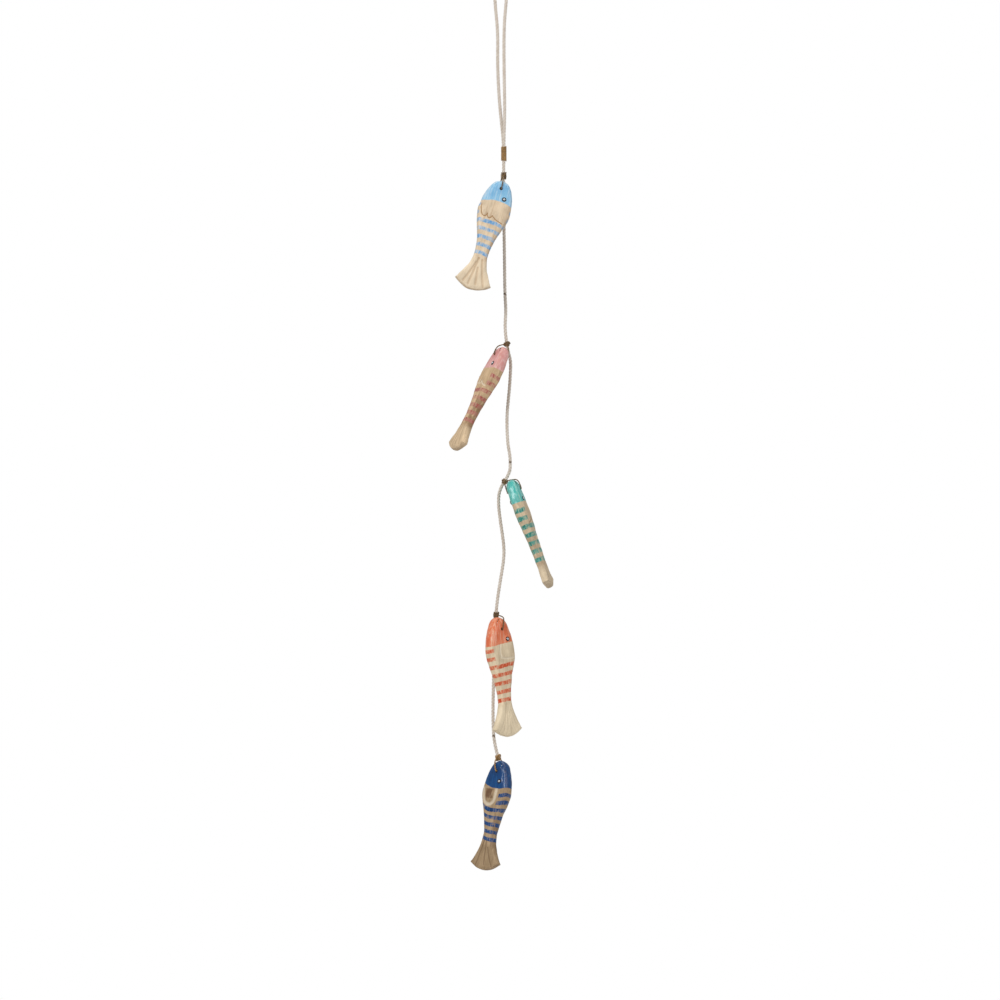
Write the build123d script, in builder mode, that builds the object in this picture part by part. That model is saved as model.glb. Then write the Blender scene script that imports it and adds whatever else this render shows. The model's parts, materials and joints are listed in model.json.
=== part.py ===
"""A hanging garland: five carved wooden fish tied by their noses to one cord with a loop at its top.

Millimetres, +Z up. The origin is the inside top of the hanging loop, where a hook carries the garland.
The fish face -Y. One cord runs all the way down. It is made in spans, each a body that bends at its top.
"""

from build123d import *
from math import cos, pi, radians, sin, tan
import os

# Cord and twine
CORD_R = 1.5
TWINE_R = 0.6
BEND_GAP = 1.0  # left between two spans of the cord, so that they can bend
ARC_SHARE = 0.45  # how much of the shorter run beside a corner its arc takes

# Whipping that closes the hanging loop
WHIPPING_TOP = -149.4
WHIPPING_LENGTH = 13.5
WHIPPING_WALL = 1.0
WHIPPING_BITE = 0.08  # how far the twine is pulled into the cord
LEG_SPACING = 3.2  # between the loop's two legs inside the whipping
LEG_X = 2.5

# Knot that holds a fish to the cord
KNOT_R = 2.7
KNOT_LENGTH = 5.6
KNOT_ROUND = 0.8
KNOT_PITCH = 1.4  # from one turn of twine to the next
KNOT_CLEAR = 0.35  # round the cord, which the knot turns on
KNOT_TO_LOOP = 3.9  # from a knot's middle to the ends of its nose loop

# Fish
HEAD_THICK = 11.6
TAIL_THICK = 6.6
TAPER_FROM = -22.0  # below the nose hole, where the thickness starts to taper
NOSE_R = 9.2  # the nose is round about its hole
HOLE_R = 1.5
EDGE_R = 2.0
TAIL_BELOW = 90.0  # from the nose hole to the middle of the tail's end, at length factor 1
FLANK_PROFILE = (  # half width, height: from the nose's arc down to the tail's corner
    (10.4, -0.5),
    (13.0, -8.5),
    (14.5, -20.0),
    (12.5, -30.0),
    (9.0, -40.5),
    (6.9, -50.5),
    (6.2, -58.5),
    (7.8, -67.5),
    (11.8, -76.0),
    (16.3, -83.5),
)
NOSE_ARC_END = 62.0  # degrees from the nose's tip, where the arc meets the flank's outline
GROOVE_ANGLES = (-17.0, -6.0, 6.0, 17.0)
GROOVE_LENGTH = 17.0
GROOVE_WIDTH = 0.9
GROOVE_DEPTH = 0.5
GROOVE_FAN = 30.0  # from the grooves' middles to where they would meet
FISH_REACH = 30.0  # beyond a fish's half width

# Tack that makes an eye
EYE_X = 5.3  # from the fish's middle line towards its back
EYE_BELOW = 9.0  # under the nose hole
EYE_R = 2.0
EYE_DOME = 0.9
EYE_RIM = 0.3
TACK_R = 0.5
TACK_LENGTH = 3.5

# Nose loop
LEG_CLEAR = 0.35  # between a flank and the twine beside it
MOUTH_R = 1.0  # bend of the twine at each mouth of the nose hole
SHOULDER_UP = 8.3  # above the hole, where the twine bends in over the nose
SHOULDER_IN = 2.15  # from that bend in to where the twine turns to the knot
CROSSING_UP = 10.4  # the least height at which the twine may cross over the nose
INNER_DROP = 6.5  # the inner leg bends at least this far below the knot
BEND_ASIDE = 1.5  # how far the inner leg's bend stands to one side, to pass beside the cord
END_ASIDE = 5.0  # the same for the way from that bend to the knot
INNER_SHORT = 0.7  # the inner end stops this much shorter, because it meets the knot at a slant

# Routes of the cord, from the top. Each span starts and ends at a bend point, less half the gap.
LOOP_ROUTE = (
    (LEG_X, LEG_SPACING, -163.4),
    (LEG_X, LEG_SPACING, -148.0),
    (0.6, 2.7, -130.0),
    (-1.6, 1.2, -108.0),
    (-3.2, 0.0, -76.0),
    (-2.7, -0.3, -48.0),
    (-5.3, 0.0, -22.0),
    (-6.4, 0.0, CORD_R),
    (6.0, 0.0, CORD_R),
    (4.7, 0.0, -20.0),
    (2.6, 0.2, -42.0),
    (2.8, 0.0, -84.0),
    (3.5, -0.2, -118.0),
    (LEG_X, 0.0, -146.0),
)
BEND_1 = (2.45, 0.0, -169.6)
SPAN_1 = (
    (2.2, 0.0, -187.0),
    (2.6, 0.8, -214.0),
    (3.2, 1.0, -253.0),
    (3.5, 0.4, -283.0),
    (4.5, 0.0, -297.0),
    (3.6, 0.0, -310.0),
)
BEND_2 = (4.1, 0.0, -320.0)
SPAN_2 = (
    (6.3, 0.3, -334.0),
    (8.9, 1.2, -343.0),
    (8.4, 1.6, -356.0),
    (7.6, 1.4, -368.0),
    (5.4, 0.6, -390.0),
    (5.4, 0.2, -405.0),
    (6.2, 0.0, -418.0),
    (7.9, 0.0, -427.0),
)
BEND_3 = (8.4, 0.0, -434.0)
SPAN_3 = (
    (8.1, 0.0, -443.6),
    (-1.6, 0.0, -458.6),
    (-2.5, 0.6, -471.0),
    (-0.8, 1.0, -486.0),
    (2.6, 0.8, -508.0),
    (2.7, 0.4, -521.0),
    (-1.2, 0.0, -544.0),
)
BEND_4 = (-3.9, 0.0, -562.0)
SPAN_4 = (
    (-5.0, 0.0, -581.0),
    (-6.2, 1.2, -612.0),
    (-7.3, 1.4, -650.0),
    (-7.1, 0.8, -678.0),
    (-5.0, 0.0, -691.0),
)
CORD_END = (-1.9, 0.0, -702.2)

# Each fish: the run of cord that its knot is on, the knot's height, the middle of its nose hole, which way
# its outer flank faces (degrees round from -Y towards +X), how far it leans out from the cord, how far it
# swings in its own plane, the side that its back is on, and its length and width as factors.
FISH = {
    "sky": dict(
        run=(BEND_1, SPAN_1[0]), knot_z=-176.0, hole=(-0.6, -9.7, -190.4),
        facing=8, lean=12, swing=-17.7, back=1, long=1.03, wide=1.0,
    ),
    "pink": dict(
        run=(BEND_2, SPAN_2[0]), knot_z=-327.2, hole=(-1.2, -8.2, -340.1),
        facing=-65, lean=28, swing=0, back=1, long=1.05, wide=0.97,
    ),
    "teal": dict(
        run=(SPAN_3[0], SPAN_3[1]), knot_z=-451.0, hole=(12.2, -7.2, -460.0),
        facing=80, lean=20.5, swing=0, back=-1, long=1.03, wide=0.97,
    ),
    "coral": dict(
        run=(BEND_4, SPAN_4[0]), knot_z=-571.2, hole=(-2.7, -9.5, -584.4),
        facing=42, lean=8, swing=0, back=1, long=1.07, wide=1.02,
    ),
    "navy": dict(
        run=(SPAN_4[-1], CORD_END), knot_z=-699.6, hole=(-0.6, -6.6, -712.4),
        facing=-40, lean=14, swing=-0.3, back=1, long=1.02, wide=1.0,
    ),
}


def towards(start, end, distance):
    """The point at a distance from start on the way to end."""
    way = Vector(end) - Vector(start)
    return Vector(start) + way.normalized() * distance


def corner_radii(points):
    """The radius at each corner of a route, as large as its two runs allow."""
    found = []
    for before, corner, after in zip(points, points[1:], points[2:]):
        first, second = corner - before, after - corner
        turn = radians(first.get_angle(second))
        found.append(ARC_SHARE * min(first.length, second.length) / tan(turn / 2))
    return found


def cord_tube(name, points):
    """A tube of the cord's thickness along a route of straight runs joined by arcs."""
    points = [Vector(*p) for p in points]
    radii = corner_radii(points)
    with BuildPart() as tube:
        with BuildLine() as route:
            FilletPolyline(*points, radius=radii)
        with BuildSketch(Plane(points[0], z_dir=points[1] - points[0])):
            Circle(CORD_R)
        sweep()
    length = route.wires()[0].length
    share = tube.part.volume / (pi * CORD_R**2 * length)
    print(f"{name}: {length:.1f} long, radii {[round(r, 1) for r in radii]}, volume share {share:.4f}")
    return tube.part


def fish_planes(hole, facing, lean, swing, back):
    """The fish's own plane: X towards its back, Z towards its nose, Y along its hole; and its outward way."""
    face = Vector(sin(radians(facing)), -cos(radians(facing)), 0)
    side = Vector(cos(radians(facing)), sin(radians(facing)), 0)
    outward = face * cos(radians(lean)) + Vector(0, 0, sin(radians(lean)))
    upright = Vector(0, 0, cos(radians(lean))) - face * sin(radians(lean))
    nose = upright * cos(radians(swing)) - side * sin(radians(swing))
    spine = (side * cos(radians(swing)) + upright * sin(radians(swing))) * back
    return Plane(Vector(*hole), x_dir=spine, z_dir=nose), outward


def fish_body(long, wide):
    """A fish in its own frame, with its nose hole along Y through the origin."""
    tail = -TAIL_BELOW * long
    side = [Vector(x * wide, z * long) for x, z in FLANK_PROFILE]
    arc_end = Vector(NOSE_R * sin(radians(NOSE_ARC_END)), NOSE_R * cos(radians(NOSE_ARC_END)))
    arc_way = Vector(cos(radians(NOSE_ARC_END)), -sin(radians(NOSE_ARC_END)))
    corner_way = Vector(0.62, -0.78)
    with BuildPart() as fish:
        with BuildSketch(Plane.XZ.offset(-HEAD_THICK / 2)):
            with BuildLine():
                Spline(arc_end, *side, tangents=[arc_way, corner_way])
                ThreePointArc(side[-1], (0, tail), (-side[-1].X, side[-1].Y))
                mirrored = [Vector(-p.X, p.Y) for p in [arc_end, *side]]
                Spline(*mirrored, tangents=[Vector(-w.X, w.Y) for w in (arc_way, corner_way)])
                ThreePointArc(arc_end, (0, NOSE_R), mirrored[0])
            make_face()
        extrude(amount=HEAD_THICK)
        with BuildSketch(Plane.YZ.offset(-FISH_REACH)):
            with BuildLine():
                half_head, half_tail = HEAD_THICK / 2, TAIL_THICK / 2
                Polyline(
                    (-half_head, NOSE_R + 1),
                    (-half_head, TAPER_FROM),
                    (-half_tail, tail - 1),
                    (half_tail, tail - 1),
                    (half_head, TAPER_FROM),
                    (half_head, NOSE_R + 1),
                    close=True,
                )
            make_face()
        extrude(amount=2 * FISH_REACH, mode=Mode.INTERSECT)
        rims = fish.edges().filter_by(lambda e: abs((e @ 0).Y - (e @ 1).Y) < half_tail)
        fillet(rims.filter_by(lambda e: e.length > 0.01 and abs(e.center().Y) > half_tail / 2), EDGE_R)
        with Locations(Plane.XZ):
            Cylinder(HOLE_R, 2 * HEAD_THICK, mode=Mode.SUBTRACT)
        for flank in (-1, 1):
            with Locations(eye_plane(flank)):
                Cylinder(TACK_R, 2 * TACK_LENGTH, mode=Mode.SUBTRACT)
            for angle in GROOVE_ANGLES:
                lean = radians(angle)
                middle = tail + GROOVE_LENGTH * 0.55
                taper = (HEAD_THICK - TAIL_THICK) / 2 / (TAPER_FROM - tail)
                surface = half_tail + taper * (middle - tail)
                place = Location(
                    (sin(lean) * GROOVE_FAN, flank * surface, middle), (flank * 3.0, -angle, 0)
                )
                with Locations(place):
                    Box(GROOVE_WIDTH, 2 * GROOVE_DEPTH, GROOVE_LENGTH, mode=Mode.SUBTRACT)
    return fish.part


def eye_plane(flank):
    """The plane of an eye on a flank, facing out, in the fish's own frame."""
    spot = Vector(EYE_X, flank * HEAD_THICK / 2, -EYE_BELOW)
    return Plane(spot, x_dir=(1, 0, 0), z_dir=(0, flank, 0))


def eye(flank):
    """A domed tack on one flank, with its shank in the wood."""
    with BuildPart() as tack:
        Cylinder(EYE_R, EYE_DOME, align=(Align.CENTER, Align.CENTER, Align.MIN))
        fillet(tack.edges().sort_by(Axis.Z)[-1], EYE_DOME - EYE_RIM)
        Cylinder(TACK_R, TACK_LENGTH, align=(Align.CENTER, Align.CENTER, Align.MAX))
    return eye_plane(flank).location * tack.part


def tie_knot(middle, way):
    """Twine wound round the cord, with grooves between its turns."""
    with BuildPart(Plane(middle, z_dir=way)) as knot:
        Cylinder(KNOT_R, KNOT_LENGTH)
        fillet(knot.edges(), KNOT_ROUND)
        with Locations(*[(0, 0, KNOT_PITCH * turn) for turn in (-1, 0, 1)]):
            Torus(KNOT_R + 0.1, 0.3, mode=Mode.SUBTRACT)
        Cylinder(CORD_R + KNOT_CLEAR, 2 * KNOT_LENGTH, mode=Mode.SUBTRACT)
    return knot.part


def loop_plane(hole, outward, middle):
    """The plane that holds a nose loop: X out of the flank, Y from the nose hole to the knot."""
    up = middle - hole
    up = (up - outward * up.dot(outward)).normalized()
    return Plane(hole, x_dir=outward, z_dir=outward.cross(up))


def nose_loop(plane, middle, cord_way):
    """Twine from the knot over the nose, through its hole and up the inner flank, beside the cord."""
    knot = plane.to_local_coords(middle)
    beside = 1 if cord_way.dot(plane.z_dir) > 0 else -1
    leg = HEAD_THICK / 2 + LEG_CLEAR + TWINE_R
    over = Vector(leg - SHOULDER_IN, CROSSING_UP)
    bend = Vector(-leg, min(SHOULDER_UP, knot.Y - INNER_DROP), beside * BEND_ASIDE)
    inner_end = Vector(bend.X, bend.Y, beside * END_ASIDE)
    points = [
        towards(knot, over, KNOT_TO_LOOP),
        over,
        Vector(leg, SHOULDER_UP),
        Vector(leg, 0),
        Vector(-leg, 0),
        bend,
        towards(knot, inner_end, KNOT_TO_LOOP + INNER_SHORT),
    ]
    with BuildPart() as twine:
        with BuildLine() as route:
            FilletPolyline(*[plane.from_local_coords(point) for point in points], radius=MOUTH_R)
        with BuildSketch(Plane(route.line @ 0, z_dir=route.line % 0)):
            Circle(TWINE_R)
        sweep()
    return twine.part


def write(name, part):
    part.label = name
    export_step(part, f"parts/{name}.step")


def at_height(start, end, height):
    """The point of a straight run at a height."""
    start, end = Vector(*start), Vector(*end)
    return start + (end - start) * ((height - start.Z) / (end.Z - start.Z))


os.makedirs("parts", exist_ok=True)

# The cord: the hanging loop, then a span for each bend.
half_gap = BEND_GAP / 2
above_1 = towards(BEND_1, LOOP_ROUTE[-1], half_gap)
write("hanging_loop", cord_tube("hanging_loop", [*LOOP_ROUTE, above_1]))
bends = (BEND_1, BEND_2, BEND_3, BEND_4)
spans = (SPAN_1, SPAN_2, SPAN_3, SPAN_4)
for number, (bend, route) in enumerate(zip(bends, spans), 1):
    start = towards(bend, route[0], half_gap)
    end = towards(bends[number], route[-1], half_gap) if number < len(bends) else CORD_END
    write(f"cord_span_{number}", cord_tube(f"cord_span_{number}", [start, *route, end]))

# The whipping grips both legs of the loop.
with BuildPart() as whipping:
    with BuildSketch(Plane((LEG_X, LEG_SPACING / 2, WHIPPING_TOP - WHIPPING_LENGTH), x_dir=(0, 1, 0))):
        SlotCenterToCenter(LEG_SPACING, 2 * (CORD_R + WHIPPING_WALL))
        SlotCenterToCenter(LEG_SPACING, 2 * (CORD_R - WHIPPING_BITE), mode=Mode.SUBTRACT)
    extrude(amount=WHIPPING_LENGTH)
write("loop_whipping", whipping.part)

# The fish, each with its eyes, its knot and its nose loop.
for name, spec in FISH.items():
    plane, outward = fish_planes(*[spec[key] for key in ("hole", "facing", "lean", "swing", "back")])
    start, end = (Vector(*point) for point in spec["run"])
    middle = at_height(start, end, spec["knot_z"])
    write(f"{name}_body", plane.location * fish_body(spec["long"], spec["wide"]))
    write(f"{name}_left_eye", plane.location * eye(-1))
    write(f"{name}_right_eye", plane.location * eye(1))
    write(f"{name}_tie_knot", tie_knot(middle, start - end))
    across = loop_plane(plane.origin, outward, middle)
    write(f"{name}_nose_loop", nose_loop(across, middle, start - end))
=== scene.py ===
"""The looks of a hanging garland: five carved and painted wooden fish tied to one twisted cotton cord.

Metres, +Z up, in the frame of the CAD model. Routes are lists of points; shapes of small pieces are in
millimetres in their own frames and are scaled as their meshes are made.
"""

import json
from math import cos, pi, radians, sin

import bmesh
import bpy
import numpy as np
from mathutils import Matrix, Vector, noise
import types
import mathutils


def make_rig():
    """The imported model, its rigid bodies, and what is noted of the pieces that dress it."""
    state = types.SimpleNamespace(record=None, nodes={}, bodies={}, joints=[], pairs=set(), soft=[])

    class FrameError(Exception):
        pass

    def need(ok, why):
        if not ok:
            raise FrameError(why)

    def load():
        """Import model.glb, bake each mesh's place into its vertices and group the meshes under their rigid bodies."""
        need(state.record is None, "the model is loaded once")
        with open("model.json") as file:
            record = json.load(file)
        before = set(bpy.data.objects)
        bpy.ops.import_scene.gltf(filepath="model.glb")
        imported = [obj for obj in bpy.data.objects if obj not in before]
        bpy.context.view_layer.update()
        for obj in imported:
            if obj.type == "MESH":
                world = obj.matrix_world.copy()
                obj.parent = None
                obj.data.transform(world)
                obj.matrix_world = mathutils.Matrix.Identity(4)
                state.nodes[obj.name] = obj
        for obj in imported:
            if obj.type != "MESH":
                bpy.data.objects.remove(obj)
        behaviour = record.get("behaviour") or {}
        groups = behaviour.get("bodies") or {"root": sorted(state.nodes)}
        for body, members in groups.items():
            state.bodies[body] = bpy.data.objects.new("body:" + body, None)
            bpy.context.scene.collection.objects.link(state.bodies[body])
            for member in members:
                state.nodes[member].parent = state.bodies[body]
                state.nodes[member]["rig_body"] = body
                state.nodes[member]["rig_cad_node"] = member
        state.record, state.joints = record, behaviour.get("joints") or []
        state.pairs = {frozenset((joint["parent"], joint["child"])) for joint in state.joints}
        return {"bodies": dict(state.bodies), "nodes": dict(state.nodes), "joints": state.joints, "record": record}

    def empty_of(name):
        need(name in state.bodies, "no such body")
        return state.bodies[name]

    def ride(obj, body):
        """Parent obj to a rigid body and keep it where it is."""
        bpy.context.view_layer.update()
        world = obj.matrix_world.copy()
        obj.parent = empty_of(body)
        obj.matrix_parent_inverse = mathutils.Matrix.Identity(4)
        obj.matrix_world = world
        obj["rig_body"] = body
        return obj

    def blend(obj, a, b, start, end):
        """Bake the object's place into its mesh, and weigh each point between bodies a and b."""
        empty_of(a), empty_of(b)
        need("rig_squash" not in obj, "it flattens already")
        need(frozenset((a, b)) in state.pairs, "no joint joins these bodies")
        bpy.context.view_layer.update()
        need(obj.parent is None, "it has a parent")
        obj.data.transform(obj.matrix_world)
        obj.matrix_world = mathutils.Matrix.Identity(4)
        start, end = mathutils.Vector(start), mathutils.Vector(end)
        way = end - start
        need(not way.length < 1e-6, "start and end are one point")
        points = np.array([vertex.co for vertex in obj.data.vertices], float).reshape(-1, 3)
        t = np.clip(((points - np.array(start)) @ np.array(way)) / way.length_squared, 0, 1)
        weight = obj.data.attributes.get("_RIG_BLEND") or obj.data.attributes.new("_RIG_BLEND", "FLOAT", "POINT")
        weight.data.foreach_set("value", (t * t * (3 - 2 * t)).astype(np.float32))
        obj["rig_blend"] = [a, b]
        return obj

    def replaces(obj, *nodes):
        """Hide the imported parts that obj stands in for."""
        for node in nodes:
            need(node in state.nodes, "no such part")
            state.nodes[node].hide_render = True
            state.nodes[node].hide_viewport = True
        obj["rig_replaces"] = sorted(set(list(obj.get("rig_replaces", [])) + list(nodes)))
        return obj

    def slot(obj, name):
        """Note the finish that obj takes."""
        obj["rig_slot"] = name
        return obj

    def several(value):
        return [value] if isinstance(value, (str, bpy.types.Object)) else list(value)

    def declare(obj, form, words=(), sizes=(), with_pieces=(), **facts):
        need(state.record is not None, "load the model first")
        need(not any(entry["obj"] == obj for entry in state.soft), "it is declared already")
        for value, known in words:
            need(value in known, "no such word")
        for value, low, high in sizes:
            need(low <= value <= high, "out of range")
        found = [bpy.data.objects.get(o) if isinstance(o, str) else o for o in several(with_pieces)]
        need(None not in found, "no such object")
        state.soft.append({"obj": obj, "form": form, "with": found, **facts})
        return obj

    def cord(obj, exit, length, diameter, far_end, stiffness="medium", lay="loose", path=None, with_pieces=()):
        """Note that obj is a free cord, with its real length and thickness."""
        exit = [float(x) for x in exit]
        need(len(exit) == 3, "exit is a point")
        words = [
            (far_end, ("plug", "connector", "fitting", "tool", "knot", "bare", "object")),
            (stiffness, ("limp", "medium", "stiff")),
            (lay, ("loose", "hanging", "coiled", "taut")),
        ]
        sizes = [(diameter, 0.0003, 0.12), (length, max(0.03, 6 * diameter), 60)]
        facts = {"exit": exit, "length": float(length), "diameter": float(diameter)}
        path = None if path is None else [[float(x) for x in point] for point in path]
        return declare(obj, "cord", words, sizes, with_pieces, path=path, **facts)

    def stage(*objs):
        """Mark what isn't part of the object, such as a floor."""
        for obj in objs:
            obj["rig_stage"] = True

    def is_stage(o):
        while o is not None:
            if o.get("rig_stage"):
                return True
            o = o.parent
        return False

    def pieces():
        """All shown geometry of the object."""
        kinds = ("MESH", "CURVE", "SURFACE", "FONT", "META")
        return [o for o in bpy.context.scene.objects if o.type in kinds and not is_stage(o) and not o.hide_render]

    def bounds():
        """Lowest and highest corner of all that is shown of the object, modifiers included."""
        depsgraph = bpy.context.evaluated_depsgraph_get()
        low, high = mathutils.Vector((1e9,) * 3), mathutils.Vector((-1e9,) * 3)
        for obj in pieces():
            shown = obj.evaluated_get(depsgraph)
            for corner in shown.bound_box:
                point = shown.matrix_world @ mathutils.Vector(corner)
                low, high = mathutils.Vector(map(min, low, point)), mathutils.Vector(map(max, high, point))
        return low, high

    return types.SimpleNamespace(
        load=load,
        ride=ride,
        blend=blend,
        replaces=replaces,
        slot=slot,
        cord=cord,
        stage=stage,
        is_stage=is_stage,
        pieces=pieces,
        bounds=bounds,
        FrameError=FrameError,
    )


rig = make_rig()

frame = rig.load()
cad_low, cad_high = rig.bounds()
joints = {joint["name"]: joint for joint in frame["joints"]}

MM = 0.001

# Camera: level, in front of the garland, far away and with a long lens
PICTURE_WIDTH = 0.9
CAMERA_AWAY = 3.0
CAMERA_X = -0.0009
CAMERA_Z = -0.468

# Stage
FLOOR_Z = -1.0
FLOOR_R = 0.5
FLOOR_SIDES = 96
FLOOR_TONES = ((0.93, 0.93, 0.93, 1.0), (0.95, 0.95, 0.95, 1.0))

# Light: the world is brighter to the camera than to the garland; each lamp's place, size and power
WORLD_STRENGTH = 0.42
WORLD_SEEN = 1.0
LIT_POINT = (0, 0, -0.4)
LAMPS = {
    "key": ((-1.5, -2.0, 0.9), 0.8, 36),
    "fill": ((1.7, -1.4, 0.2), 1.2, 9),
    "top": ((0.2, 0.3, 1.4), 1.6, 14),
}

# Colours: fibres light, dark and in shade; a fleck on the cord; the painted highlight along pale carved cuts
COTTON = ("#e9dfd3", "#dccfc1", "#b3a28f")
GOLDEN_JUTE = ("#b98f55", "#9c7540", "#5f4322")
BROWN_JUTE = ("#86683f", "#614a2b", "#352611")
SPECK = "#5a4020"
CUT_HIGHLIGHT = "#efe2cb"

# How fine each noise is along X, Y and Z, per metre: the smallest number is along the wood or the fibre
HAIRS = (5200.0, 5200.0, 2300.0)
GRAIN = (620.0, 620.0, 34.0)
YEAR_RINGS = (230.0, 120.0, 9.0)
PORES = (2600.0, 2600.0, 130.0)
CLOUDS = (110.0, 110.0, 60.0)
BLOTCHES = (300.0, 300.0, 110.0)
FRAY = (1500.0, 1500.0, 240.0)
DRY_BRUSH = (1400.0, 1400.0, 160.0)
BLOTS = (260.0, 260.0, 200.0)
BRUSH_STREAKS = (760.0, 760.0, 48.0)

# Cord: three strands of twisted yarns
CORD_R = 1.5 * MM
CORD_STRANDS = 3
CORD_LAY = 8.5 * MM
CORD_STEP = 0.5 * MM
STRAND_R = 0.76 * MM
STRAND_OUT = 0.76 * MM
STRAND_SIDES = 16
STRAND_YARNS = 7
YARN_LAY = 5.5 * MM
YARN_DEPTH = 0.055

# The cord's route from the short end in the whipping, round the loop and down to the bottom knot
BEND_1 = (0.00245, 0.0, -0.1696)
BEND_2 = (0.0041, 0.0, -0.320)
BEND_3 = (0.0084, 0.0, -0.434)
BEND_4 = (-0.0039, 0.0, -0.562)
CORD_ROUTE = (
    (0.0025, 0.0032, -0.1634),
    (0.0025, 0.0032, -0.148),
    (0.0006, 0.0027, -0.130),
    (-0.0016, 0.0012, -0.108),
    (-0.0032, 0.0, -0.076),
    (-0.0027, -0.0003, -0.048),
    (-0.0053, 0.0, -0.022),
    (-0.0064, 0.0, 0.0015),
    (0.0060, 0.0, 0.0015),
    (0.0047, 0.0, -0.020),
    (0.0026, 0.0002, -0.042),
    (0.0028, 0.0, -0.084),
    (0.0035, -0.0002, -0.118),
    (0.0025, 0.0, -0.146),
    BEND_1,
    (0.0022, 0.0, -0.187),
    (0.0026, 0.0008, -0.214),
    (0.0032, 0.0010, -0.253),
    (0.0035, 0.0004, -0.283),
    (0.0045, 0.0, -0.297),
    (0.0036, 0.0, -0.310),
    BEND_2,
    (0.0063, 0.0003, -0.334),
    (0.0089, 0.0012, -0.343),
    (0.0084, 0.0016, -0.356),
    (0.0076, 0.0014, -0.368),
    (0.0054, 0.0006, -0.390),
    (0.0054, 0.0002, -0.405),
    (0.0062, 0.0, -0.418),
    (0.0079, 0.0, -0.427),
    BEND_3,
    (0.0081, 0.0, -0.4436),
    (-0.0016, 0.0, -0.4586),
    (-0.0025, 0.0006, -0.471),
    (-0.0008, 0.0010, -0.486),
    (0.0026, 0.0008, -0.508),
    (0.0027, 0.0004, -0.521),
    (-0.0012, 0.0, -0.544),
    BEND_4,
    (-0.0050, 0.0, -0.581),
    (-0.0062, 0.0012, -0.612),
    (-0.0073, 0.0014, -0.650),
    (-0.0071, 0.0008, -0.678),
    (-0.0050, 0.0, -0.691),
    (-0.0019, 0.0, -0.7022),
)
# Each span: the point that it bends at, and how far above and below that point the bend reaches
SPANS = ((BEND_1, 0.0036), (BEND_2, 0.0044), (BEND_3, 0.0080), (BEND_4, 0.0064))
SPECK_HEIGHTS = (-0.2826, -0.4338, -0.6804)
SPECK_REACH = 0.8 * MM

# Whipping
WHIPPING_TOP = -0.1498
WHIPPING_TURNS = 12.2
WHIPPING_PITCH = 1.04 * MM
WHIPPING_R = 1.97 * MM
LEG_SPACING = 3.2 * MM
LEG_X = 2.5 * MM

# Twine: two plies. The values are a ply's radius, how far it stands off the line, and its lay.
TWINE = dict(ply=0.34 * MM, out=0.26 * MM, lay=3.0 * MM)
FINE_TWINE = dict(ply=0.32 * MM, out=0.22 * MM, lay=2.4 * MM)
WAVY_TWINE = dict(ply=0.36 * MM, out=0.36 * MM, lay=4.6 * MM)
TWINE_STEP = 0.22 * MM
TWINE_SIDES = 10

# Knots and nose loops, in millimetres
WRAP_R = 1.96
WRAP_PITCH = 1.16
WRAP_STEPS = 8
WRAP_START = 150
WRAP_BULGE = 0.35
LEG_OUT = 6.65
SHOULDER_OUT = 6.15
SHOULDER_DOWN = 2.9
CROSSING_OUT = 3.9
CROSSING_UP = 1.0
INNER_OUT = 6.75
INNER_UP = 8.3
INNER_DROP = 6.5
BEND_ASIDE = 1.5
END_ASIDE = 5.0
MOUTH_RUN = 1.7
LOOP_START = 1.9

# Fish, in millimetres, with the nose hole along Y through the origin, X to the back and Z to the nose
HEAD_HALF = 5.8
TAIL_HALF = 3.3
TAPER_FROM = -22.0
NOSE_THINS_FROM = 3.0
NOSE_THINS_BY = 0.34
RIM_R_SHARE = 0.52
RIM_R_RANGE = (1.3, 2.9)
RIM_BULGE = 0.25
CROWN = 0.55
NOSE_R = 9.2
HOLE_R = 1.5
HOLE_STEPS = 8
NOSE_ARC_END = 62.0
TAIL_BELOW = 90.0
FLANK_PROFILE = (
    (10.4, -0.5), (13.0, -8.5), (14.5, -20.0), (12.5, -30.0), (9.0, -40.5),
    (6.9, -50.5), (6.2, -58.5), (7.8, -67.5), (11.8, -76.0), (16.3, -83.5),
)
OUTLINE_STEPS = 24
LINE_THINNING = 4
HEAD_END = -8.0
HEAD_ROWS = 60
BODY_ROWS = 215
HALF_COLUMNS = 30
RIM_RINGS = 6
BAND_RINGS = 22
# Shares of the body's length at which its rows no longer rise to the hole, are fully bowed, and begin to dip
RISES_UNTIL = 0.22
BOWED_FROM = 0.15
DIPS_FROM = 0.72

# Eye tack, in millimetres: its place, and the outlines of its ring and its dome as distance out and height
EYE_X = 5.3
EYE_BELOW = 9.0
EYE_SIDES = 40
EYE_RINGS = 24
EYE_RING = (
    (0.35, -0.9), (0.35, -0.25), (1.7, -0.25), (1.98, -0.1), (2.02, 0.14),
    (1.9, 0.34), (1.66, 0.42), (1.36, 0.36), (1.1, 0.2),
)
EYE_DOME = (
    (1.1, 0.2), (1.09, 0.36), (1.02, 0.55), (0.88, 0.72),
    (0.7, 0.84), (0.48, 0.92), (0.24, 0.965), (0.0, 0.98),
)

# Points of a fish or an eye that are nearer than this become one, in millimetres
WELD_GAP = 0.004
EYE_WELD_GAP = 0.002

# The eye's materials: tones, noise fineness and detail, where it is rubbed, roughness, bump and metal
TACK_LOOKS = {
    "tack_ring": dict(
        tones=("#1c1a1c", "#5b5a5e"), noise=(1800.0, 3.0), rubbed=(0.45, 0.75), rough=(0.2, 0.25),
        bump=(0.00003, 0.4), metal=0.7,
    ),
    "tack_dome": dict(
        tones=("#dfe2e6", "#8f949b"), noise=(1500.0, 4.0), rubbed=(0.4, 0.7), rough=(0.18, 0.12),
        bump=(0.00002, 0.3), metal=0.55,
    ),
}

# Paint: the line from which the head's paint ends lower to both sides, in millimetres, and the stripes
CAP_MIDDLE = 6.0
SHORT_STRIPES = 2
STRIPES = 7
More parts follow.
